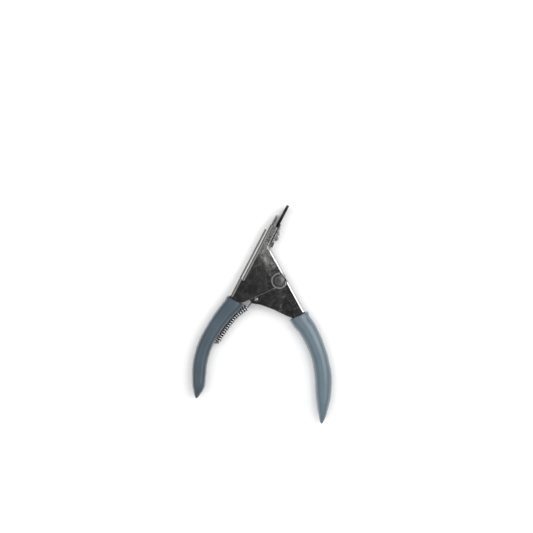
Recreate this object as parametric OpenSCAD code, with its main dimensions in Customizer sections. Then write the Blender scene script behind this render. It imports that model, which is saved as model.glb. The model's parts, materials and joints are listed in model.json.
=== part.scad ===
/* [Whole tool] */
// Angle of the blade track from the +Y axis, leaning towards +X
track_angle = 27.5; // [25:0.5:30]
// Angle of the lever's back from the +Y axis, leaning towards -X
lever_angle = 28.5; // [27:0.5:30]
// Sheet thickness of the frame's pressed channel
frame_t = 1.0; // [0.8:0.1:1.1]
// Sheet thickness of the lever's pressed channel
lever_t = 1.0; // [0.8:0.1:1.1]

/* [Head] */
// Outer radius of the cutting ring
ring_r = 7.3; // [7:0.1:7.8]
// Radius of the nail hole in the ring
nail_hole_r = 4.25; // [3.5:0.05:4.6]
// Thickness of the ring plate
ring_t = 1.6; // [1.2:0.1:1.8]
// Thickness of the guillotine blade
blade_t = 0.7; // [0.5:0.1:0.7]
// Half of the width of the blade's shank, which runs under the strap
blade_half_w = 3.3; // [2.6:0.1:3.4]

/* [Pivot and drive] */
// Radius of the pivot rivet's shank
pivot_r = 2.0; // [1.6:0.1:2.2]
// Radius of the rivet's domed heads
rivet_head_r = 2.9; // [2.6:0.1:3.4]
// Radius of the raised pads round the pivot
pad_r = 4.6; // [4.2:0.1:4.8]
// Radius of the drive pin
drive_pin_r = 1.1; // [0.9:0.05:1.2]
// Angle that the lever turns between open and fully squeezed
squeeze_deg = 33.4; // [30:0.2:34]
// Running clearance on a radius
run_gap = 0.05; // [0.02:0.01:0.08]

/* [Handles] */
// Half of a grip's thickness
grip_half_z = 5.8; // [5.6:0.1:6.4]
// Thickness of the vinyl over the edges of the steel
grip_wall = 1.3; // [1.1:0.1:1.5]

/* [Spring] */
// Outer radius of the coiled spring
spring_r = 2.1; // [1.9:0.1:2.3]
// Radius of the spring's wire
wire_r = 0.4; // [0.3:0.05:0.45]

/* [Hidden] */
$fn = 64;

// The tool lies on its side: the handles swing in the XY plane, and +Z is across the sheet-metal layers.
pivot_at = [9.76, 18.89];
mid_z = ring_r;

// Half-distances from the middle plane to each layer of sheet
frame_outer_z = 4.6;
frame_inner_z = frame_outer_z - frame_t;
lever_outer_z = frame_inner_z - 0.2;
lever_inner_z = lever_outer_z - lever_t;
carrier_outer_z = lever_inner_z - 0.2;
carrier_inner_z = carrier_outer_z - 1.0;
pad_z = frame_outer_z + 0.6;
// The cheek's round lobe lies just inside the edge of its pad
lobe_r = pad_r - 0.05;

// The blade track's frame: X across the track, Y up the track towards the ring, from the ring plate's front face
// at the head's top edge. The pivot lies at pivot_on_track in it.
pivot_on_track = [14.5, -25.9];

// Layers of the head, across the track
back_x = -5.2;
bend_r = 2.4;
rib_x = -6.7;
rib_r = 1.9;
leaf_x = -4.15;
leaf_t = 1.35;
ring_x = -ring_t;
blade_x = 0.05;
carrier_x = blade_x + blade_t;
carrier_t = 0.85;
guide_x = carrier_x + carrier_t + 0.1;
guide_t = 0.8;
ring_centre_y = 6.9;
// Lower ends of the head's flat parts and of the strap over the carrier
stack_low_y = -11.4;
strap_low_y = -11.2;
strap_high_y = -8.2;
// Half-widths of the parts stacked behind the ring
stem_half_w = 3.5;
spacer_half_w = 2.9;
leaf_half_w = 1.7;

// Track positions where the frame's cheeks, its two channels and its rib end
cheek_top_y = 0.2;
narrow_low_y = -34.9;
wide_low_y = -47;
rib_low_y = -36.4;
rib_high_y = -3.6;

// Lever: the outside of its back from the pivot, and the bend's radius
lever_outer_x = 4.4;
lever_bend_r = 1.4;
drive_boss_r = 1.8;
bush_r = 3;

// Small parts
lock_washer_t = 0.35;
lock_washer_r = 2.5;
anchor_pin_r = 0.9;
post_r = 0.8;
hook_room = 1.1;
groove_room = 0.3;
// Longer than any part that a hole is cut through
cut_h = 20;

// Drive pin: it swings evenly about the square from the pivot to its line on the track
drive_line_x = -0.8;
drive_reach = (pivot_on_track[0] - drive_line_x) / cos(squeeze_deg / 2);
drive_rest_y = pivot_on_track[1] - drive_reach * sin(squeeze_deg / 2);
drive_turn = 180 - track_angle - lever_angle + squeeze_deg / 2;
drive_at = drive_reach * [cos(drive_turn), sin(drive_turn)];

// Blade edge and screw at rest
blade_top_y = 2.6;
// Above the strap the blade widens, so that its edge crosses the whole nail hole
blade_shoulder_y = strap_high_y + 0.4;
edge_half_w = nail_hole_r + 0.2;
screw_y = -4.4;
screw_r = 1.5;
screw_head_r = 2.7;

// Handle centrelines from the pivot: X, Y and half of the grip's width
fixed_path = [
    [-24.75, -10.65, 5.25], [-26.2, -13.3, 5.05], [-29.6, -17.1, 4.7], [-33.7, -22.3, 4.45], [-37.6, -28.3, 4.3],
    [-40.9, -34.1, 4.15], [-43.2, -40.1, 4.1], [-44.75, -46.5, 4.05], [-45.3, -53, 3.9],
    [-45.6, -59.5, 3.4], [-46.4, -63.8, 1.8], [-46.9, -66.4, 0.5],
];
moving_path = [
    [10.9, -19.45, 5.6], [12.6, -22.9, 5.3], [15.4, -26.4, 5.1], [18, -31, 4.9], [20.4, -36.2, 4.7],
    [23.2, -44.5, 4.6], [24.85, -54.2, 4.75], [24.95, -64.4, 4.25], [24.6, -70.9, 3.2],
    [24.3, -76.4, 1.95], [23.75, -80.7, 0.6],
];
path_steps = 4;
// The steel in each grip follows the same line, from just above the grip's mouth to a point part of the way down
tang_points = 6;
fixed_tang_path = concat([[-24.4, -10, 5.25]], first_points(fixed_path, tang_points + 1));
moving_tang_path = concat([[10.55, -18.5, 5.1]], first_points(moving_path, tang_points));

// Spring coil's centreline and hook points, from the pivot
coil_path = [
    [-18.2, -14.9], [-24.2, -19.5], [-27.8, -23.7], [-30.9, -27.9], [-33.5, -31.8], [-34.8, -34.9],
];
post_at = [-12.9, -10.4];
anchor_at = [-39.8, -36.2];

module at_pivot() {
    translate([pivot_at[0], pivot_at[1], mid_z]) children();
}

module on_track() {
    at_pivot() rotate(-track_angle) translate([-pivot_on_track[0], -pivot_on_track[1], 0]) children();
}

module on_lever() {
    at_pivot() rotate(lever_angle) children();
}

// Catmull-Rom curve through the points of a handle's centreline
function blend_points(a, b, c, d, t) =
    0.5 * (2 * b + (c - a) * t + (2 * a - 5 * b + 4 * c - d) * t * t + (3 * b - a - 3 * c + d) * t * t * t);

function smooth_path(p, steps) = concat(
    [for (i = [0:len(p) - 2], k = [0:steps - 1])
        blend_points(p[max(i - 1, 0)], p[i], p[i + 1], p[min(i + 2, len(p) - 1)], k / steps)],
    [p[len(p) - 1]]
);

function heading(p, i) =
    let (a = p[max(i - 1, 0)], b = p[min(i + 1, len(p) - 1)], d = [b[0] - a[0], b[1] - a[1]])
    d / norm(d);

// A point beside the centreline: side is 1 for the +X side of a path that runs down
function beside(p, i, side, inset) =
    let (d = heading(p, i), w = max(p[i][2] - inset, 0.25))
    [p[i][0] - side * d[1] * w, p[i][1] + side * d[0] * w];

function handle_outline(p, plus_inset, minus_inset) = concat(
    [for (i = [0:len(p) - 1]) beside(p, i, 1, plus_inset)],
    [for (i = [len(p) - 1:-1:0]) beside(p, i, -1, minus_inset)]
);

module handle_slab(p, plus_inset, minus_inset, half_z) {
    linear_extrude(height = 2 * half_z, center = true)
        polygon(handle_outline(smooth_path(p, path_steps), plus_inset, minus_inset));
}

function first_points(p, n) = [for (i = [0:n - 1]) p[i]];

// A bent sheet's U section across the track, drawn long and open towards +X
module channel_section(outer_x, half_z, r, open_x) {
    difference() {
        union() {
            translate([outer_x + r, -half_z]) square([open_x - outer_x - r, 2 * half_z]);
            translate([outer_x, r - half_z]) square([r, 2 * (half_z - r)]);
            for (s = [-1, 1]) translate([outer_x + r, s * (half_z - r)]) circle(r);
        }
        translate([outer_x + r, frame_t - half_z]) square([open_x, 2 * (half_z - frame_t)]);
        translate([outer_x + frame_t, r - half_z]) square([r, 2 * (half_z - r)]);
        for (s = [-1, 1]) translate([outer_x + r, s * (half_z - r)]) circle(r - frame_t);
    }
}

module along_track(low_y, high_y) {
    translate([0, high_y, 0]) rotate([90, 0, 0]) linear_extrude(height = high_y - low_y) children();
}

// Outline of the frame's cheeks above the grip, on the track's frame
module cheek_outline() {
    polygon([
        [rib_x - 1, cheek_top_y], [-0.3, cheek_top_y], [-0.3, -12.1], [12.7, -20.7], [18.2, -23.1],
        [18.2, -25.9], [14.6, -30.4], [1.9, -46.5], [rib_x - 1, -46.5],
    ]);
    translate(pivot_on_track) circle(lobe_r);
}

module fixed_frame() {
    color([0.72, 0.73, 0.75])
    difference() {
        union() {
            on_track() intersection() {
                union() {
                    along_track(narrow_low_y, 1) channel_section(back_x, frame_outer_z, bend_r, 25);
                    along_track(wide_low_y, narrow_low_y) channel_section(rib_x, frame_outer_z, bend_r, 25);
                }
                linear_extrude(height = 12, center = true) cheek_outline();
            }
            on_track() frame_rib();
            for (s = [0, 1]) on_track() mirror([0, 0, s]) pivot_pad();
            at_pivot() fixed_tang();
        }
        at_pivot() cylinder(h = cut_h, r = pivot_r, center = true);
        at_pivot() translate(anchor_at) cylinder(h = cut_h, r = anchor_pin_r, center = true);
    }
}

// Round stiffening rib pressed out of the frame's back, with a slanted lower end
module frame_rib() {
    difference() {
        along_track(rib_low_y, rib_high_y) intersection() {
            union() {
                translate([rib_x + rib_r, 0]) circle(rib_r);
                translate([rib_x + rib_r, -rib_r]) square([0.6, 2 * rib_r]);
            }
            translate([rib_x - 1, -rib_r]) square([back_x + frame_t - rib_x + 1, 2 * rib_r]);
        }
        translate([rib_x, rib_low_y, 0]) rotate(45) cube([2, 2, 12], center = true);
    }
}

// Raised pad round the pivot, with a coned edge and a flat land that runs out to the cheek's edge
module pivot_pad() {
    translate(pivot_on_track) translate([0, 0, frame_outer_z - 0.3]) {
        cylinder(h = 0.3, r = pad_r);
        translate([0, 0, 0.3]) cylinder(h = pad_z - frame_outer_z, r1 = pad_r, r2 = pad_r - 0.9);
    }
    translate([0, 0, frame_outer_z - 0.3]) linear_extrude(height = pad_z - frame_outer_z + 0.3)
        polygon([[12.9, -23], [12.9, -20.9], [18.1, -23.2], [18.1, -25], [15, -25]]);
}

// The frame's channel goes on down inside its grip, open on the spring's side
module fixed_tang() {
    difference() {
        handle_slab(fixed_tang_path, grip_wall, grip_wall, frame_outer_z);
        handle_slab(fixed_tang_path, grip_wall - 3, grip_wall + frame_t, frame_inner_z);
    }
}

module grip(p, steel_half_z, steel_path) {
    difference() {
        union() {
            handle_slab(p, 0, 0, grip_half_z - 1.8);
            handle_slab(p, 0.55, 0.55, grip_half_z - 0.8);
            handle_slab(p, 1.5, 1.5, grip_half_z);
        }
        handle_slab(steel_path, grip_wall, grip_wall, steel_half_z);
    }
}

module fixed_grip() {
    color([0.33, 0.40, 0.47]) at_pivot()
    difference() {
        grip(fixed_path, frame_outer_z, fixed_tang_path);
        spring_groove();
        hook_hole();
    }
}

// Groove along the grip's inner side that the spring lies in
module spring_groove() {
    start = coil_path[0] + 0.5 * (coil_path[0] - coil_path[1]);
    band = [for (p = concat([start], coil_path)) [p[0], p[1], spring_r + groove_room]];
    handle_slab(band, 0, 0, spring_r + groove_room);
}

// Hole in the grip's side where the spring's lower hook goes in to its pin
module hook_hole() {
    last = coil_path[len(coil_path) - 1];
    run = anchor_at - last;
    translate([last[0], last[1], 0]) rotate([0, 90, atan2(run[1], run[0])]) cylinder(h = norm(run), r = wire_r + hook_room);
}

module moving_grip() {
    color([0.42, 0.50, 0.57]) at_pivot()
        grip(moving_path, lever_outer_z, moving_tang_path);
}

module ring_outline() {
    translate([0, ring_centre_y]) circle(ring_r);
    translate([-stem_half_w, stack_low_y]) square([2 * stem_half_w, 14]);
}

// Across the track: local X becomes Z, local Y stays along the track, thickness goes towards +X
module across_track(x) {
    translate([x, 0, 0]) rotate([0, 90, 0]) mirror([1, 0, 0]) children();
}

module ring_plate() {
    color([0.12, 0.12, 0.13]) on_track() across_track(ring_x) linear_extrude(height = ring_t)
    difference() {
        ring_outline();
        translate([0, ring_centre_y]) circle(nail_hole_r);
    }
}

// Short leaf behind the ring: it steadies the nail, and is notched clear of the ring's hole
module ring_backing_plate() {
    color([0.55, 0.58, 0.56]) on_track() across_track(leaf_x) linear_extrude(height = leaf_t)
    difference() {
        union() {
            translate([-leaf_half_w, stack_low_y]) square([2 * leaf_half_w, 14]);
            translate([-5.4, 1]) square([10.8, 4.4]);
            for (s = [-1, 1]) translate([s * 4.9, 5.4]) circle(0.95);
        }
        translate([0, ring_centre_y]) circle(nail_hole_r + 0.3);
    }
}

// Spacer brazed between the leaf and the ring plate
module head_spacer() {
    gap_x = leaf_x + leaf_t;
    color([0.5, 0.51, 0.53]) on_track() across_track(gap_x)
        linear_extrude(height = ring_x - gap_x)
            translate([-spacer_half_w, stack_low_y]) square([2 * spacer_half_w, cheek_top_y - stack_low_y]);
}

// Strap over the carrier, welded to the edges of the cheeks
module carrier_guide() {
    color([0.7, 0.71, 0.73]) on_track() along_track(strap_low_y, strap_high_y) difference() {
        translate([-0.3, -frame_outer_z]) square([guide_x + guide_t + 0.3, 2 * frame_outer_z]);
        translate([-0.4, -frame_inner_z]) square([guide_x + 0.4, 2 * frame_inner_z]);
    }
}

module pivot_rivet() {
    color([0.42, 0.43, 0.45]) at_pivot() {
        cylinder(h = 2 * pad_z, r = pivot_r, center = true);
        for (s = [0, 1]) mirror([0, 0, s]) translate([0, 0, pad_z]) rivet_head();
    }
}

module rivet_head() {
    rotate_extrude() polygon([
        [0, 0], [rivet_head_r, 0], [rivet_head_r, 0.35], [rivet_head_r - 0.3, 0.6], [1.6, 0.85], [0, 0.95],
    ]);
}

module spring_anchor_pin() {
    color([0.6, 0.61, 0.63]) at_pivot() translate(anchor_at)
        cylinder(h = 2 * frame_outer_z, r = anchor_pin_r, center = true);
}

// Outline of the lever's walls: X out through the lever's back, Y up it, from the pivot
module lever_outline() {
    polygon([
        [lever_outer_x, 17.2], [lever_outer_x, -22.9], [-3.9, -21.4], [-4.6, -20.9], [-7.7, -16.9],
        [-10.5, -12.8], [-13.4, -9.5], [-16.1, -6.5], [-18.7, -4.6], [-19.9, -3.6], [-19.8, -1.6],
        [-13.9, 9.2], [-11.4, 11.6], [1.5, 17.2],
    ]);
    translate(drive_at) circle(drive_boss_r);
}

module moving_lever() {
    color([0.72, 0.73, 0.75])
    difference() {
        union() {
            on_lever() intersection() {
                linear_extrude(height = 2 * lever_outer_z, center = true) lever_outline();
                translate([0, 30, 0]) rotate([90, 0, 0]) linear_extrude(height = 60) lever_section();
            }
            at_pivot() moving_tang();
        }
        at_pivot() cylinder(h = cut_h, r = pivot_r + run_gap, center = true);
        on_lever() translate(drive_at) cylinder(h = cut_h, r = drive_pin_r, center = true);
        at_pivot() translate(post_at) cylinder(h = cut_h, r = post_r, center = true);
    }
}

// The lever's U section, open towards -X
module lever_section() {
    r = lever_bend_r;
    difference() {
        union() {
            translate([-30, -lever_outer_z]) square([30 + lever_outer_x - r, 2 * lever_outer_z]);
            translate([0, r - lever_outer_z]) square([lever_outer_x, 2 * (lever_outer_z - r)]);
            for (s = [-1, 1]) translate([lever_outer_x - r, s * (lever_outer_z - r)]) circle(r);
        }
        translate([-31, -lever_inner_z]) square([31 + lever_outer_x - lever_t, 2 * lever_inner_z]);
    }
}

module moving_tang() {
    difference() {
        handle_slab(moving_tang_path, grip_wall, grip_wall, lever_outer_z);
        handle_slab(moving_tang_path, grip_wall + lever_t, grip_wall - 3, lever_inner_z);
    }
}

module pivot_bush() {
    color([0.62, 0.6, 0.5]) at_pivot() difference() {
        cylinder(h = 2 * lever_inner_z, r = bush_r, center = true);
        cylinder(h = cut_h, r = pivot_r + run_gap, center = true);
    }
}

module drive_pin() {
    color([0.6, 0.61, 0.63]) on_lever() translate(drive_at)
        cylinder(h = 2 * lever_outer_z, r = drive_pin_r, center = true);
}

module spring_post() {
    color([0.75, 0.76, 0.78]) at_pivot() translate(post_at)
        cylinder(h = 2 * lever_outer_z, r = post_r, center = true);
}

// The coiled stretch as a plain round bar along the coil's centreline
module return_spring() {
    bar = smooth_path(coil_path, 2);
    color([0.8, 0.81, 0.83]) at_pivot() union() {
        for (i = [0:len(bar) - 2]) hull() {
            translate(bar[i]) sphere(spring_r, $fn = 20);
            translate(bar[i + 1]) sphere(spring_r, $fn = 20);
        }
    }
}

// Slotted shoe round the drive pin, a long web beside the ring plate, and the threaded tip
module blade_carrier() {
    color([0.68, 0.69, 0.7]) on_track() difference() {
        union() {
            across_track(carrier_x) linear_extrude(height = carrier_t) {
                translate([-carrier_outer_z, drive_rest_y - 3.2]) square([2 * carrier_outer_z, 34.7]);
            }
            for (s = [-1, 1]) carrier_flange(s);
        }
        across_track(-1) translate([0, screw_y, 0]) cylinder(h = 10, r = screw_r);
    }
}

module carrier_flange(s) {
    low_z = s > 0 ? carrier_inner_z : -carrier_outer_z;
    slot_r = drive_pin_r + 0.06;
    slot_low_x = pivot_on_track[0] - drive_reach - 0.2;
    slot_high_x = drive_line_x + 0.2;
    translate([0, 0, low_z]) linear_extrude(height = carrier_outer_z - carrier_inner_z)
    difference() {
        translate([-3.4, drive_rest_y - 3.2]) square([carrier_x + 3.5, 6.4]);
        for (x = [slot_low_x, slot_high_x]) translate([x, drive_rest_y]) circle(slot_r);
        translate([slot_low_x, drive_rest_y - slot_r]) square([slot_high_x - slot_low_x, 2 * slot_r]);
    }
}

module blade() {
    color([0.82, 0.83, 0.85]) on_track() across_track(blade_x) linear_extrude(height = blade_t)
    difference() {
        union() {
            translate([-blade_half_w, -9.4]) square([2 * blade_half_w, blade_top_y + 9.4]);
            translate([-edge_half_w, blade_shoulder_y]) square([2 * edge_half_w, blade_top_y - blade_shoulder_y]);
        }
        translate([0, screw_y]) circle(screw_r);
        translate([0, blade_top_y + 4.1]) circle(4.6);
    }
}

module blade_screw() {
    head_x = carrier_x + carrier_t + lock_washer_t;
    color([0.85, 0.86, 0.88]) on_track() difference() {
        union() {
            across_track(blade_x) translate([0, screw_y, 0]) cylinder(h = head_x - blade_x, r = screw_r);
            across_track(head_x) translate([0, screw_y, 0]) screw_head();
        }
        translate([head_x + 1.5, screw_y, 0]) cube([1.4, 0.7, 8], center = true);
    }
}

module screw_head() {
    rotate_extrude() polygon([
        [0, 0], [screw_head_r, 0], [screw_head_r, 0.7], [screw_head_r - 0.35, 1.25], [1.5, 1.65], [0, 1.75],
    ]);
}

module blade_lock_washer() {
    color([0.5, 0.51, 0.53]) on_track() across_track(carrier_x + carrier_t) translate([0, screw_y, 0])
    difference() {
        cylinder(h = lock_washer_t, r = lock_washer_r);
        translate([0, 0, -1]) cylinder(h = 3, r = screw_r);
    }
}

fixed_frame();
fixed_grip();
ring_plate();
ring_backing_plate();
head_spacer();
carrier_guide();
pivot_rivet();
spring_anchor_pin();
moving_lever();
moving_grip();
pivot_bush();
drive_pin();
spring_post();
return_spring();
blade_carrier();
blade();
blade_screw();
blade_lock_washer();
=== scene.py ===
"""Looks of the guillotine nail clipper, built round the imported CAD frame.

Every length is in metres. Handle outlines and small pieces are given in millimetres from the pivot and turned into
metres by place().
"""

import json
import math

import bmesh
import bpy
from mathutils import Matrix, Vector


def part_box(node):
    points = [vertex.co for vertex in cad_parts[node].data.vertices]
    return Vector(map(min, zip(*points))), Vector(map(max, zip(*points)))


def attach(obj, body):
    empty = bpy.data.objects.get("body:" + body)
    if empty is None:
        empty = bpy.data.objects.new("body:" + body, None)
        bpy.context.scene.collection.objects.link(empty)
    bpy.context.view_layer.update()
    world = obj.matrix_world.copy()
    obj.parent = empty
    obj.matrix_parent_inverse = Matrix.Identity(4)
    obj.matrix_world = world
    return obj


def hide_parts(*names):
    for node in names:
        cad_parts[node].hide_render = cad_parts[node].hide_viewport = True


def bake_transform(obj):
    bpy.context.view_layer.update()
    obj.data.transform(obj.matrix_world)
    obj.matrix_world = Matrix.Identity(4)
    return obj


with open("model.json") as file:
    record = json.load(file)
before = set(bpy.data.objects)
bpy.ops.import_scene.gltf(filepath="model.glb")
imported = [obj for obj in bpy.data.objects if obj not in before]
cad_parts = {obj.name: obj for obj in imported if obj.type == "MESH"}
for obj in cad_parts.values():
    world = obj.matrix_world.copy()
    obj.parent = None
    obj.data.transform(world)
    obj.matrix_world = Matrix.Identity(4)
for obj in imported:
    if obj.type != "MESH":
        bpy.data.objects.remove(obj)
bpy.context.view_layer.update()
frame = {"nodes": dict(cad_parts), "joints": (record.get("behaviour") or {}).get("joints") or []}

MM = 0.001
CM_PER_M = 100
JOINTS = {j["name"]: j for j in frame["joints"]}
PIVOT = Vector(JOINTS["lever_pivot"]["pos_m"])
TRACK = Vector(JOINTS["blade_slide"]["axis"]).normalized()
UP = Vector((0, 0, 1))
scene = bpy.context.scene


def place(x, y, z=0.0):
    """A point given in millimetres from the pivot, in the row frame."""
    return PIVOT + Vector((x, y, z)) * MM


# ---------------------------------------------------------------- materials


class Nodes:
    """A small helper that adds shader nodes to one material and links them."""

    def __init__(self, name):
        self.material = bpy.data.materials.new(name)
        self.material.use_nodes = True
        self.tree = self.material.node_tree
        self.shader = self.tree.nodes["Principled BSDF"]
        coordinates = self.tree.nodes.new("ShaderNodeTexCoord")
        self.coords = coordinates.outputs["Object"]

    def add(self, kind, links=None, **settings):
        node = self.tree.nodes.new(kind)
        for key, value in settings.items():
            setattr(node, key, value)
        for key, value in (links or {}).items():
            socket = node.inputs[key]
            if isinstance(value, bpy.types.NodeSocket):
                self.tree.links.new(value, socket)
            else:
                socket.default_value = value
        return node

    def mapped(self, scale, turn=0.0):
        """Object coordinates in millimetres, stretched by scale and turned about Z."""
        turned = self.add("ShaderNodeMapping", {"Vector": self.coords, "Rotation": (0, 0, turn)})
        sized = self.add("ShaderNodeMapping", {"Vector": turned.outputs[0], "Scale": [s / MM for s in scale]})
        return sized.outputs[0]

    def noise(self, scale, detail=4.0, rough=0.55, distortion=0.0, turn=0.0):
        scale = scale if isinstance(scale, tuple) else (scale, scale, scale)
        node = self.add(
            "ShaderNodeTexNoise",
            {"Vector": self.mapped(scale, turn), "Scale": 1.0, "Detail": detail,
             "Roughness": rough, "Distortion": distortion},
        )
        return node.outputs["Fac"]

    def spread(self, value, low, high, to_low=0.0, to_high=1.0):
        node = self.add(
            "ShaderNodeMapRange",
            {"Value": value, "From Min": low, "From Max": high, "To Min": to_low, "To Max": to_high},
        )
        return node.outputs[0]

    def math(self, operation, a, b):
        return self.add("ShaderNodeMath", {0: a, 1: b}, operation=operation).outputs[0]

    def mix(self, factor, a, b):
        node = self.add("ShaderNodeMix", {"Factor": factor, 6: (*a, 1) if isinstance(a, tuple) else a,
                                          7: (*b, 1) if isinstance(b, tuple) else b}, data_type="RGBA")
        return node.outputs[2]

    def bump(self, height, strength, distance_mm, below=None):
        links = {"Height": height, "Strength": strength, "Distance": distance_mm * MM}
        if below is not None:
            links["Normal"] = below
        return self.add("ShaderNodeBump", links).outputs[0]

    def fall_from_pivot(self, below_cm=1.0):
        """Minus the square of the height along the track above a line below_cm under the pivot, in centimetres."""
        track_cm = tuple(TRACK * CM_PER_M)
        along = self.add("ShaderNodeVectorMath", {0: self.coords, 1: track_cm}, operation="DOT_PRODUCT")
        from_pivot = self.math("SUBTRACT", along.outputs["Value"], PIVOT.dot(TRACK) * CM_PER_M)
        above = self.math("ADD", self.math("MAXIMUM", from_pivot, -below_cm), below_cm)
        return self.math("MULTIPLY", self.math("MULTIPLY", above, above), -1.0)

    def finish(self, color=None, roughness=None, normal=None, **constants):
        for key, value in (("Base Color", color), ("Roughness", roughness), ("Normal", normal)):
            if isinstance(value, bpy.types.NodeSocket):
                self.tree.links.new(value, self.shader.inputs[key])
            elif value is not None:
                self.shader.inputs[key].default_value = (*value, 1) if isinstance(value, tuple) else value
        for key, value in constants.items():
            self.shader.inputs[key.replace("_", " ")].default_value = value
        return self.material


def steel(name, dark, light, smooth, rough, grain=(0.5, 14, 14), turn=0.0, mottle=0.45, scratch=0.12, wave=0.0,
          crown=0.0, edge=0.0):
    """Plated or ground sheet metal: cloudy patches, a fine directional grain, small pits and a slow waviness.

    A crowned sheet falls away more and more along the blade's track, from 1 cm below the pivot, and edge is the
    radius in millimetres that its stamped edges look worn to.
    """
    n = Nodes(name)
    clouds = n.noise(mottle, detail=7, rough=0.72)
    specks = n.noise(5.0, detail=2, rough=0.5)
    lines = n.noise(grain, detail=3, turn=turn)
    color = n.mix(n.spread(clouds, 0.3, 0.72), dark, light)
    patchy = n.spread(clouds, 0.34, 0.7, smooth, rough)
    pitted = n.spread(specks, 0.56, 0.72, 0.0, 0.05)
    normal = n.add("ShaderNodeBevel", {"Radius": edge * MM}, samples=8).outputs[0] if edge else None
    if wave:
        normal = n.bump(n.noise(0.055, detail=2, rough=0.4), 1.0, wave, normal)
    if crown:
        normal = n.bump(n.fall_from_pivot(), 1.0, crown, normal)
    normal = n.bump(lines, scratch, 0.02, normal)
    normal = n.bump(specks, 0.012, 0.02, normal)
    return n.finish(color, n.math("ADD", patchy, pitted), normal, Metallic=1.0)


def vinyl(name, deep, pale):
    """Dipped soft vinyl: a glossy skin with slow colour drift, faint flow ripples and a fine orange peel."""
    n = Nodes(name)
    drift = n.noise(0.06, detail=3)
    ripples = n.noise((0.35, 0.12, 0.35), detail=3, distortion=0.4)
    peel = n.noise(2.6, detail=3, rough=0.6)
    dust = n.noise(7.0, detail=2)
    color = n.mix(n.spread(drift, 0.32, 0.68), deep, pale)
    gloss = n.math("ADD", n.spread(peel, 0.3, 0.7, 0.30, 0.40), n.spread(dust, 0.6, 0.8, 0.0, 0.12))
    normal = n.bump(ripples, 0.18, 0.15)
    normal = n.bump(peel, 0.10, 0.03, normal)
    return n.finish(color, gloss, normal, Coat_Weight=0.5, Coat_Roughness=0.2, Specular_IOR_Level=0.5)


def spring_wire(name):
    """Drawn zinc-plated wire with painted shade: its lower half is coloured near-black and made rougher, and its
    upper side keeps the bright plated colour.
    """
    n = Nodes(name)
    drawn = n.noise(3.0, detail=3)
    patches = n.noise(1.2, detail=5, rough=0.65)
    height = n.add("ShaderNodeSeparateXYZ", {"Vector": n.coords}).outputs["Z"]
    # Painted shade mask: 0 low in the coil, where the wire is coloured near-black as if in shadow, rising to 1 on its
    # upper side
    above_painted_shade = n.spread(height, PIVOT.z - 0.3 * MM, PIVOT.z + 0.8 * MM)
    plated = n.mix(n.spread(patches, 0.3, 0.7), (0.6, 0.61, 0.63), (0.82, 0.83, 0.85))
    # Painted shade: the coil's lower half is mixed towards near-black
    color = n.mix(above_painted_shade, (0.035, 0.036, 0.04), plated)
    gloss = n.math("ADD", n.spread(patches, 0.3, 0.7, 0.1, 0.2), n.spread(above_painted_shade, 0.0, 1.0, 0.25, 0.0))
    return n.finish(color, gloss, n.bump(drawn, 0.12, 0.02), Metallic=1.0)


def black_oxide(name):
    """Blackened hardened steel, rubbed a little brighter where it has been handled."""
    n = Nodes(name)
    rubbed = n.noise(0.9, detail=6, rough=0.7)
    fine = n.noise(6.0, detail=3)
    color = n.mix(n.spread(rubbed, 0.5, 0.78), (0.018, 0.018, 0.02), (0.075, 0.072, 0.07))
    normal = n.bump(fine, 0.16, 0.03)
    return n.finish(color, n.spread(rubbed, 0.3, 0.7, 0.32, 0.5), normal, Metallic=0.75)


TRACK_TURN = math.atan2(TRACK.x, TRACK.y)
PLATED = steel("plated_sheet", (0.55, 0.54, 0.53), (0.68, 0.67, 0.66), 0.12, 0.2, turn=TRACK_TURN, scratch=0.025,
               wave=0.8, crown=0.15, edge=0.35)
PLATED_LEVER = steel("plated_lever_sheet", (0.47, 0.47, 0.48), (0.58, 0.58, 0.59), 0.12, 0.2, turn=-TRACK_TURN,
                     scratch=0.025, wave=1.1, edge=0.3)
RIVET = steel("rivet_metal", (0.16, 0.16, 0.17), (0.25, 0.25, 0.26), 0.3, 0.42, grain=(6, 6, 6), scratch=0.15)
PLAIN = steel("turned_steel", (0.42, 0.42, 0.44), (0.56, 0.56, 0.58), 0.2, 0.34)
LEAF = steel("leaf_steel", (0.33, 0.36, 0.34), (0.47, 0.5, 0.48), 0.24, 0.4, turn=TRACK_TURN)
CARRIER = steel("carrier_steel", (0.6, 0.61, 0.62), (0.76, 0.77, 0.78), 0.26, 0.38, turn=TRACK_TURN, scratch=0.04)
BLADE = steel("blade_steel", (0.6, 0.61, 0.63), (0.76, 0.77, 0.79), 0.12, 0.24, grain=(0.3, 18, 18), scratch=0.2)
SCREW = steel("plated_screw", (0.7, 0.71, 0.73), (0.85, 0.86, 0.88), 0.22, 0.34, grain=(4, 4, 4), scratch=0.04)
WIRE = spring_wire("spring_wire")
BRONZE = steel("sintered_bronze", (0.4, 0.29, 0.14), (0.55, 0.42, 0.23), 0.35, 0.5, grain=(5, 5, 5), scratch=0.3)
OXIDE = black_oxide("black_oxide")
VINYL_FIXED = vinyl("grip_vinyl_fixed", (0.042, 0.062, 0.080), (0.055, 0.079, 0.099))
VINYL_MOVING = vinyl("grip_vinyl_moving", (0.090, 0.128, 0.158), (0.110, 0.155, 0.188))


# ---------------------------------------------------------------- mesh helpers

# Faces that meet at less than FLAT_DEG are one flat, and at less than BEND_DEG they are one bend. A flat is at least
# FLAT_MM2 in area, or WIDE_FLAT_MM2 where it runs into a bend.
FLAT_DEG = 0.5
BEND_DEG = 12
FLAT_MM2 = 2
WIDE_FLAT_MM2 = 60
# Least cosine between a small face and the flat whose shading it takes up
TAKES_UP = 0.6
# How finished() prepares a CAD mesh: vertices closer than this are one, flatter edges than this go, and sharper
# edges than this are broken
WELD_MM = 0.002
DISSOLVE_DEG = 0.8
HARD_DEG = 28


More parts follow.
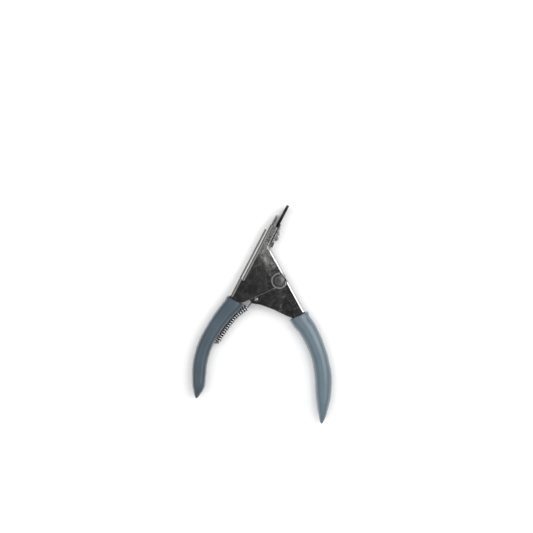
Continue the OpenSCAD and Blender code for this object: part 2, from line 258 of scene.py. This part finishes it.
def new_piece(name, mesh, material, body, slot, *nodes):
    """Puts a finished mesh in the scene, on its body, in place of the CAD nodes it stands for."""
    piece = bpy.data.objects.new(name, mesh)
    scene.collection.objects.link(piece)
    mesh.materials.clear()
    mesh.materials.append(material)
    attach(piece, body)
    if nodes:
        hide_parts(*nodes)
    return piece


def shade(mesh, sharp_deg=32, turn_out=True):
    """Smooth shading, with the edges past sharp_deg left crisp."""
    bm = bmesh.new()
    bm.from_mesh(mesh)
    if turn_out:
        bmesh.ops.recalc_face_normals(bm, faces=bm.faces)
    for face in bm.faces:
        face.smooth = True
    for edge in bm.edges:
        edge.smooth = len(edge.link_faces) != 2 or edge.calc_face_angle(0) < math.radians(sharp_deg)
    bm.to_mesh(mesh)
    bm.free()


def even_normals(mesh):
    """Keeps every flat face evenly shaded up to its edges, and lets bends and broken edges shade smoothly into it."""
    faces = mesh.polygons
    group = list(range(len(faces)))

    def root(i):
        while group[i] != i:
            group[i] = group[group[i]]
            i = group[i]
        return i

    sides = {}
    for face in faces:
        for key in face.edge_keys:
            sides.setdefault(key, []).append(face.index)
    bends = []
    for pair in sides.values():
        if len(pair) == 2:
            angle = math.degrees(faces[pair[0]].normal.angle(faces[pair[1]].normal, 0))
            if angle < FLAT_DEG:
                group[root(pair[0])] = root(pair[1])
            elif angle < BEND_DEG:
                bends.extend(pair)
    area = {}
    for face in faces:
        area[root(face.index)] = area.get(root(face.index), 0) + face.area / MM ** 2
    curved = {root(i) for i in bends}
    flat = {g for g, size in area.items() if size > WIDE_FLAT_MM2 or (size > FLAT_MM2 and g not in curved)}
    touching = {}
    for face in faces:
        if root(face.index) in flat:
            for v in face.vertices:
                touching.setdefault(v, []).append(face.normal.copy())
    normals = [tuple(c.vector) for c in mesh.corner_normals]
    for face in faces:
        for corner in face.loop_indices:
            near = touching.get(mesh.loops[corner].vertex_index, [])
            best = max(near, key=lambda n: n.dot(face.normal), default=None)
            if root(face.index) in flat:
                normals[corner] = tuple(face.normal)
            elif best is not None and best.dot(face.normal) > TAKES_UP:
                normals[corner] = tuple(best)
    mesh.normals_split_custom_set(normals)


def finished(node, body, slot, material, edge_mm=0.14, steps=2):
    """The CAD node's own shape with its edges broken, as stamping, tumbling and plating leave them.

    With no edge_mm the shape stays as it is, and its material rounds the edges instead.
    """
    source = frame["nodes"][node].data
    bm = bmesh.new()
    bm.from_mesh(source)
    bmesh.ops.remove_doubles(bm, verts=bm.verts, dist=WELD_MM * MM)
    if edge_mm:
        bmesh.ops.dissolve_limit(bm, angle_limit=math.radians(DISSOLVE_DEG), verts=bm.verts, edges=bm.edges)
        hard = [e for e in bm.edges if len(e.link_faces) == 2 and e.calc_face_angle(0) > math.radians(HARD_DEG)]
        bmesh.ops.bevel(bm, geom=hard, offset=edge_mm * MM, offset_type="OFFSET", segments=steps,
                        profile=0.5, affect="EDGES", clamp_overlap=True)
    mesh = bpy.data.meshes.new(node + "_finished")
    bm.to_mesh(mesh)
    bm.free()
    shade(mesh, 50, bool(edge_mm))
    even_normals(mesh)
    return new_piece(node + "_finished", mesh, material, body, slot, node)


def lathe(profile, centre, axis, segments=72):
    """Rings of (radius, height) in millimetres turned about an axis, closed at both ends."""
    side = axis.orthogonal().normalized()
    other = axis.cross(side)
    verts, faces = [], []
    for radius, height in profile:
        for k in range(segments):
            a = math.tau * k / segments
            verts.append(centre + (side * math.cos(a) + other * math.sin(a)) * radius * MM + axis * height * MM)
    for r in range(len(profile) - 1):
        for k in range(segments):
            a, b = r * segments + k, r * segments + (k + 1) % segments
            faces.append((a, b, b + segments, a + segments))
    faces.append(tuple(range(segments - 1, -1, -1)))
    faces.append(tuple(range((len(profile) - 1) * segments, len(profile) * segments)))
    mesh = bpy.data.meshes.new("lathe")
    mesh.from_pydata([tuple(v) for v in verts], [], faces)
    shade(mesh, 50)
    return mesh


def tube(points, radius_mm, sides=10):
    """A round wire along points, with a frame carried along it so that it never twists."""
    verts, faces = [], []
    tangent = (points[1] - points[0]).normalized()
    normal = tangent.orthogonal().normalized()
    for i, p in enumerate(points):
        ahead = points[min(i + 1, len(points) - 1)] - points[max(i - 1, 0)]
        new_tangent = ahead.normalized()
        normal = (tangent.rotation_difference(new_tangent) @ normal).normalized()
        tangent = new_tangent
        side = tangent.cross(normal)
        for k in range(sides):
            a = math.tau * k / sides
            verts.append(p + (normal * math.cos(a) + side * math.sin(a)) * radius_mm * MM)
    for r in range(len(points) - 1):
        for k in range(sides):
            a, b = r * sides + k, r * sides + (k + 1) % sides
            faces.append((a, b, b + sides, a + sides))
    faces.append(tuple(range(sides - 1, -1, -1)))
    faces.append(tuple(range((len(points) - 1) * sides, len(points) * sides)))
    mesh = bpy.data.meshes.new("tube")
    mesh.from_pydata([tuple(v) for v in verts], [], faces)
    shade(mesh, 60)
    return mesh


def catmull(points, t):
    """The point at t (0 to 1) on the Catmull-Rom curve through tuples of any length."""
    last = len(points) - 1
    i = min(int(t * last), last - 1)
    f = t * last - i
    a, b, c, d = (points[min(max(k, 0), last)] for k in (i - 1, i, i + 1, i + 2))
    return [
        0.5 * (2 * q + (r - p) * f + (2 * p - 5 * q + 4 * r - s) * f * f + (3 * q - p - 3 * r + s) * f ** 3)
        for p, q, r, s in zip(a, b, c, d)
    ]


def even_curve(points, count, steps=600):
    """Points spaced evenly along the Catmull-Rom curve, as (x, y)."""
    dense = [catmull(points, k / steps) for k in range(steps + 1)]
    run = [0.0]
    for a, b in zip(dense, dense[1:]):
        run.append(run[-1] + math.dist(a, b))
    even, k = [], 0
    for i in range(count + 1):
        goal = run[-1] * i / count
        while k < steps - 1 and run[k + 1] < goal:
            k += 1
        f = (goal - run[k]) / (run[k + 1] - run[k])
        even.append(tuple(a + (b - a) * f for a, b in zip(dense[k], dense[k + 1])))
    return even


# ---------------------------------------------------------------- grips

# Handle centrelines from the pivot: x, y and half width, in millimetres
FIXED_PATH = [
    (-24.75, -10.65, 5.25), (-26.2, -13.3, 5.05), (-29.6, -17.1, 4.7), (-33.7, -22.3, 4.45), (-37.6, -28.3, 4.3),
    (-40.9, -34.1, 4.15), (-43.2, -40.1, 4.1), (-44.75, -46.5, 4.05), (-45.3, -53, 3.9),
    (-45.6, -59.5, 3.4), (-46.4, -63.8, 1.8), (-46.9, -66.4, 0.5),
]
MOVING_PATH = [
    (10.9, -19.45, 5.6), (12.6, -22.9, 5.3), (15.4, -26.4, 5.1), (18, -31, 4.9), (20.4, -36.2, 4.7),
    (23.2, -44.5, 4.6), (24.85, -54.2, 4.75), (24.95, -64.4, 4.25), (24.6, -70.9, 3.2),
    (24.3, -76.4, 1.95), (23.75, -80.7, 0.6),
]
GRIP_HALF_Z = 5.75
# Coil's centreline, in millimetres from the pivot, and the groove it lies in
COIL_PATH = [(-18.2, -14.9), (-24.2, -19.5), (-27.8, -23.7), (-30.9, -27.9), (-33.5, -31.8), (-34.8, -34.9)]
GROOVE_R = 2.35
# Places along a sleeve, from 0 at its mouth to 1 at its tip
LIP_END = 0.022
DISH_END = 0.05
TIP_START = 0.965
# Half the span, as such a place, over which a sleeve's direction is taken
AHEAD = 0.004
# Half width in millimetres below which a sleeve also gets thinner
THIN_BELOW = 3.6
# Height and width of the moulding seam in millimetres, and the least scale of a section that shows it
SEAM_H = 0.07
SEAM_W = 0.22
SEAM_FROM = 0.985


def superellipse(angle, power):
    """A point on the unit superellipse."""
    c, s = math.cos(angle), math.sin(angle)
    return (math.copysign(abs(c) ** (2 / power), c), math.copysign(abs(s) ** (2 / power), s))


def groove_at(origin, heading, side, steps=160):
    """Where the spring's groove crosses one row of a sleeve: its offset along side and its radius there, in mm."""
    best = None
    for k in range(steps + 1):
        offset = Vector((*catmull(COIL_PATH, k / steps), 0)) - origin
        off_row = abs(offset.dot(heading))
        if best is None or off_row < best[0]:
            best = (off_row, offset.dot(side))
    reach = GROOVE_R ** 2 - best[0] ** 2
    return (best[1], math.sqrt(reach)) if reach > 0 else None


def grip_mesh(path, power, dish_mm, grooved=False, stations=110, around=80):
    """A dipped sleeve: a rounded lip and recess at its mouth, a soft oval section, a fine seam and a round tip."""
    # (place along the sleeve, scale of the section, push along the sleeve in mm)
    lip = [(0, 0.80, 0.5), (0, 0.81, 0.25), (0, 0.835, 0.02), (0, 0.87, -0.02), (0, 0.91, 0.06), (0, 0.945, 0.2),
           (0, 0.972, 0.42), (0, 0.99, 0.72)]
    rows = list(lip)
    for i in range(stations):
        t = i / (stations - 1)
        along = LIP_END + (1 - LIP_END) * t
        fade = max(0.0, (along - TIP_START) / (1 - TIP_START))
        rows.append((along, math.sqrt(max(0.0, 1 - fade ** 2)) if fade < 1 else 0.02, 0.0))
    verts, faces = [], []
    for along, scale, push in rows:
        x, y, half = catmull(path, along)
        x2, y2, _ = catmull(path, min(along + AHEAD, 1.0))
        x1, y1, _ = catmull(path, max(along - AHEAD, 0.0))
        heading = Vector((x2 - x1, y2 - y1, 0)).normalized()
        side = Vector((-heading.y, heading.x, 0))
        slim = min(1.0, (half / THIN_BELOW) ** 0.8)
        half_z = GRIP_HALF_Z * slim * (0.94 + 0.06 * math.sin(math.pi * min(1, along * 1.3)))
        dish = dish_mm * max(0.0, 1 - along / DISH_END)
        groove = groove_at(Vector((x, y, 0)), heading, side) if grooved else None
        for k in range(around):
            a = math.tau * k / around
            cx, cz = superellipse(a, power)
            seam = SEAM_H * math.exp(-((cz * half_z) / SEAM_W) ** 2) if scale > SEAM_FROM else 0.0
            out, z = cx * (half * scale + seam), cz * half_z * scale
            if groove and out > 0 and abs(z) < groove[1]:
                out = min(out, groove[0] - math.sqrt(groove[1] ** 2 - z ** 2))
            p = Vector((x, y, 0)) + side * out + UP * z
            p += heading * (push + dish * (1 - cx * cx))
            verts.append(place(*p))
    for r in range(len(rows) - 1):
        for k in range(around):
            a, b = r * around + k, r * around + (k + 1) % around
            faces.append((a, b, b + around, a + around))
    faces.append(tuple(range(around - 1, -1, -1)))
    faces.append(tuple(range((len(rows) - 1) * around, len(rows) * around)))
    mesh = bpy.data.meshes.new("grip")
    mesh.from_pydata([tuple(v) for v in verts], [], faces)
    shade(mesh, 70)
    return mesh


fixed_sleeve = grip_mesh(FIXED_PATH, 3.0, 0.7, grooved=True)
moving_sleeve = grip_mesh(MOVING_PATH, 2.3, 0.3)
new_piece("fixed_grip_sleeve", fixed_sleeve, VINYL_FIXED, "frame", "grip_vinyl", "fixed_grip")
new_piece("moving_grip_sleeve", moving_sleeve, VINYL_MOVING, "lever", "grip_vinyl", "moving_grip")

# ---------------------------------------------------------------- pressed and cut steel

finished("fixed_frame", "frame", "plated_steel", PLATED, 0)
finished("moving_lever", "lever", "plated_steel", PLATED_LEVER, 0)
finished("ring_plate", "frame", "black_steel", OXIDE, 0.22, 3)
finished("ring_backing_plate", "frame", "spring_leaf_steel", LEAF, 0.14, 2)
finished("head_spacer", "frame", "plain_steel", PLAIN, 0.08, 1)
finished("carrier_guide", "frame", "plated_steel", PLATED, 0.12, 2)
finished("blade_carrier", "carriage", "carrier_steel", CARRIER, 0.1, 2)
finished("blade", "carriage", "blade_steel", BLADE, 0.04, 1)
finished("blade_lock_washer", "carriage", "plain_steel", PLAIN, 0.05, 1)
finished("blade_screw", "carriage", "screw_steel", SCREW, 0.12, 2)
finished("pivot_bush", "lever", "bush_brass", BRONZE, 0.1, 1)
finished("drive_pin", "lever", "plain_steel", PLAIN, 0.15, 2)
finished("spring_post", "lever", "plain_steel", PLAIN, 0.15, 2)
finished("spring_anchor_pin", "frame", "plain_steel", PLAIN, 0.15, 2)

# ---------------------------------------------------------------- pivot rivet

# How far each head stands above the pad it is set on, with its dome, in millimetres
HEAD_H = 0.95


def rivet_mesh():
    """Shank with two domed heads, each with a turned rim and a faint ring where the setting tool pressed."""
    low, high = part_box("pivot_rivet")
    half = (high.z - low.z) / 2 / MM
    pad = half - HEAD_H
    head = [(2.0, pad - 0.3), (2.78, pad), (2.88, pad + 0.08), (2.9, pad + 0.22), (2.86, pad + 0.4),
            (2.74, pad + 0.58), (2.55, pad + 0.7), (2.4, pad + 0.74), (2.28, pad + 0.72), (2.15, pad + 0.735),
            (1.8, pad + 0.79), (1.3, pad + 0.84), (0.8, pad + 0.87), (0.2, pad + 0.88)]
    rings = [(r, -h) for r, h in reversed(head)] + head
    return lathe(rings, PIVOT, UP, 96)


new_piece("pivot_rivet_domed", rivet_mesh(), RIVET, "frame", "rivet_steel", "pivot_rivet")

# ---------------------------------------------------------------- return spring

# Upper hook's post and lower hook's pin: centres in millimetres from the pivot, and radii
POST = Vector((-12.9, -10.4, 0))
ANCHOR = Vector((-39.8, -36.2, 0))
POST_R = 0.8
ANCHOR_R = 0.9
# Coil's mean radius, wire's radius and the gap between a hook and its pin, in millimetres
COIL_R = 1.62
WIRE_R = 0.44
HOOK_GAP = 0.05
HOOK_SWEEP = math.radians(250)
TURNS = 18
STEPS_PER_TURN = 30


def arc_between(centre, start, sweep, radius, count):
    """Points round part of a circle, from the angle start through sweep."""
    return [centre + Vector((math.cos(start + sweep * i / count), math.sin(start + sweep * i / count), 0)) * radius
            for i in range(count + 1)]


def spring_points():
    """The wire's centreline: hook round the post, leg, coil, leg, hook round the lower pin."""
    coil = []
    count = TURNS * STEPS_PER_TURN
    line = even_curve(COIL_PATH, count)
    for i, (x, y) in enumerate(line):
        before, after = line[max(i - 3, 0)], line[min(i + 3, count)]
        heading = Vector((after[0] - before[0], after[1] - before[1], 0)).normalized()
        side = Vector((-heading.y, heading.x, 0))
        a = math.tau * i / STEPS_PER_TURN
        ease = min(1.0, 2 * i / STEPS_PER_TURN, 2 * (count - i) / STEPS_PER_TURN)
        r = COIL_R * (0.25 + 0.75 * ease)
        coil.append(Vector((x, y, 0)) + (side * math.cos(a) + UP * math.sin(a)) * r)
    hook_r = POST_R + WIRE_R + HOOK_GAP
    inward = (coil[0] - POST).normalized()
    facing = math.atan2(inward.y, inward.x)
    upper = arc_between(POST, facing + math.radians(60), HOOK_SWEEP, hook_r, 22)
    pin_r = ANCHOR_R + WIRE_R + HOOK_GAP
    outward = (coil[-1] - ANCHOR).normalized()
    facing = math.atan2(outward.y, outward.x)
    lower = arc_between(ANCHOR, facing + math.radians(50), HOOK_SWEEP, pin_r, 20)
    path = upper + coil + lower
    return smoothed([place(*p) for p in path])


def smoothed(points, spacing_mm=0.45):
    """Points no more than about spacing_mm apart along a polyline, rounded a little where the legs join."""
    dense = [points[0]]
    for p in points[1:]:
        gap = (p - dense[-1]).length
        pieces = max(1, int(gap / (spacing_mm * MM)))
        start = dense[-1]
        dense += [start.lerp(p, (k + 1) / pieces) for k in range(pieces)]
    for _ in range(3):
        inner = [(a + b * 2 + c) / 4 for a, b, c in zip(dense, dense[1:], dense[2:])]
        dense = [dense[0], *inner, dense[-1]]
    return dense


spring_mesh = tube(spring_points(), WIRE_R, 12)
spring = bpy.data.objects.new("return_spring_coil", spring_mesh)
scene.collection.objects.link(spring)
spring_mesh.materials.append(WIRE)
# Most of the coil stays in the grip's groove, and its free upper turns stretch towards the post
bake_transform(spring)
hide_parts("return_spring")

# ---------------------------------------------------------------- floor, light and camera

REACH = 3
floor_mesh = bpy.data.meshes.new("floor")
floor_mesh.from_pydata([(x, y, 0) for x, y in ((-REACH, -REACH), (REACH, -REACH), (REACH, REACH), (-REACH, REACH))],
                       [], [(0, 1, 2, 3)])
floor = bpy.data.objects.new("floor", floor_mesh)
scene.collection.objects.link(floor)
floor_nodes = Nodes("pale_floor")
floor_mesh.materials.append(floor_nodes.finish((0.86, 0.86, 0.86), 0.75))

# The studio is dark straight overhead, where the camera looks down from. A bright ring round that spot fades
# towards the horizon, and its -X half is dimmer. SKY holds the height of a direction and the brightness there.
world = bpy.data.worlds.new("studio")
scene.world = world
world.use_nodes = True
tree = world.node_tree
direction = tree.nodes.new("ShaderNodeTexCoord")
split = tree.nodes.new("ShaderNodeSeparateXYZ")
tree.links.new(direction.outputs["Generated"], split.inputs[0])
ramp = tree.nodes.new("ShaderNodeValToRGB")
tree.links.new(split.outputs["Z"], ramp.inputs[0])
SKY = [(0.0, 0.3), (0.35, 0.34), (0.6, 0.5), (0.78, 0.85), (0.93, 0.9), (0.972, 0.35), (0.988, 0.035), (1.0, 0.024)]
while len(ramp.color_ramp.elements) < len(SKY):
    ramp.color_ramp.elements.new(0.5)
for stop, (where, level) in zip(ramp.color_ramp.elements, SKY):
    stop.position = where
    stop.color = (level, level, level * 1.01, 1)
side = tree.nodes.new("ShaderNodeMapRange")
tree.links.new(split.outputs["X"], side.inputs["Value"])
for key, value in (("From Min", -0.5), ("From Max", 0.3), ("To Min", 0.55), ("To Max", 0.72)):
    side.inputs[key].default_value = value
total = tree.nodes.new("ShaderNodeMix")
total.data_type = "RGBA"
total.blend_type = "MULTIPLY"
total.inputs["Factor"].default_value = 1.0
tree.links.new(ramp.outputs[0], total.inputs[6])
tree.links.new(side.outputs[0], total.inputs[7])
tree.links.new(total.outputs[2], tree.nodes["Background"].inputs["Color"])
tree.nodes["Background"].inputs["Strength"].default_value = 0.9


def softbox(name, where, size, power, reflected=True):
    """A rectangular lamp facing the origin. Where it isn't reflected, it lights the metal without showing in it."""
    light = bpy.data.lights.new(name, "AREA")
    light.shape = "RECTANGLE"
    light.size, light.size_y = size
    light.energy = power
    lamp = bpy.data.objects.new(name, light)
    lamp.location = where
    lamp.rotation_euler = Vector(where).to_track_quat("Z", "Y").to_euler()
    lamp.visible_glossy = reflected
    scene.collection.objects.link(lamp)


softbox("key", (0.62, 0.25, 0.75), (0.5, 1.1), 4.5)
softbox("fill", (-0.8, 0.1, 0.9), (0.9, 0.9), 4.0, False)
softbox("overhead", (0.0, 0.0, 1.9), (1.6, 1.6), 26.0, False)

# The camera looks straight down at a field 0.301 m wide, as the clipper is seen lying on its side
FIELD = 0.3011
# Centre of that field, in millimetres from the pivot
AIM = (-7.23, 8.08)
CAMERA_HEIGHT = 1.6
camera_data = bpy.data.cameras.new("camera")
camera_data.angle = 2 * math.atan(FIELD / 2 / (CAMERA_HEIGHT - PIVOT.z))
camera_data.clip_start = 0.01
camera = bpy.data.objects.new("camera", camera_data)
camera.location = place(*AIM)
camera.location.z = CAMERA_HEIGHT
scene.collection.objects.link(camera)
scene.camera = camera
scene.view_settings.view_transform = "Standard"
